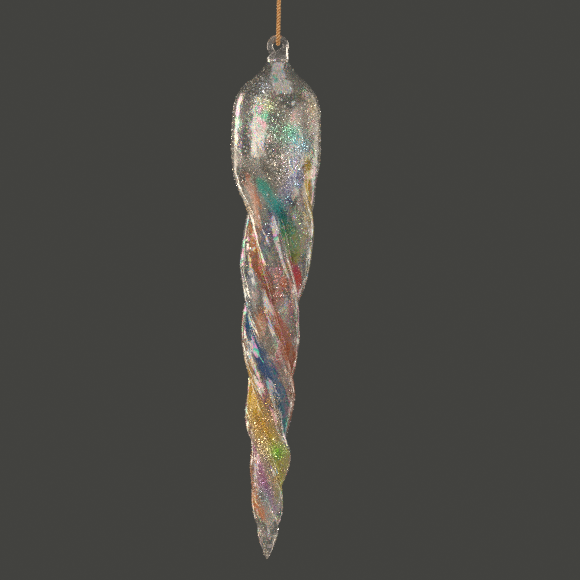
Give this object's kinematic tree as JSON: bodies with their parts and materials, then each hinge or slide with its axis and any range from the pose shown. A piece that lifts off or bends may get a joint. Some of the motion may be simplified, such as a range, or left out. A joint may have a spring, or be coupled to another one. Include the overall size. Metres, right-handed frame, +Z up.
{
  "type": "icicle hanging ornament",
  "caption": "Hollow twisted clear-glass icicle with coloured glass canes, hung by a glass eye on a loop of gold cord.",
  "frame": {"origin": "the hanging point: inside the top of the cord loop, just under its knot, where a hook or twig bears", "axes": "+Z up along the drop, from its tip to the cord; +Y along the cord loop's plane and through the eye (the eye is yawed 18 degrees); +X to the right seen from the front"},
  "size_m": [0.0348, 0.0348, 0.2647],
  "materials": {
    "clear_glass": "gloss with very fine iridescent glitter",
    "eye_glass": "fire-polished gloss",
    "salmon_glass": "translucent coloured glass",
    "amber_glass": "translucent coloured glass",
    "teal_glass": "translucent coloured glass",
    "green_glass": "translucent coloured glass",
    "red_glass": "translucent coloured glass",
    "violet_glass": "translucent coloured glass",
    "yellow_glass": "translucent coloured glass",
    "orange_glass": "translucent coloured glass",
    "gold_glass": "translucent coloured glass",
    "navy_glass": "translucent coloured glass",
    "blue_glass": "translucent coloured glass",
    "gold_cord": "twisted metallic thread"
  },
  "bodies": {
    "cord_loop": {"cord_front_strand": "gold_cord", "cord_rear_strand": "gold_cord", "cord_knot": "gold_cord", "cord_front_tail": "gold_cord", "cord_rear_tail": "gold_cord"},
    "cord_end": {"cord_bight": "gold_cord"},
    "glass_drop": {"glass_body": "clear_glass", "hanging_eye": "eye_glass", "salmon_cane": "salmon_glass", "amber_cane": "amber_glass", "teal_cane": "teal_glass", "green_cane": "green_glass", "red_cane": "red_glass", "violet_cane": "violet_glass", "yellow_cane": "yellow_glass", "orange_cane": "orange_glass", "gold_cane": "gold_glass", "navy_cane": "navy_glass", "blue_cane": "blue_glass"}
  },
  "joints": [
    {"name": "cord_twist", "type": "hinge", "parent": "cord_loop", "child": "cord_end", "pos_m": [0, 0, -0.041], "axis": [0, 0, 1], "range_deg": [-180, 180]},
    {"name": "eye_swing", "type": "hinge", "parent": "cord_end", "child": "glass_drop", "pos_m": [0, 0, -0.05195], "axis": [-0.309, 0.9511, 0], "range_deg": [-45, 45]}
  ]
}
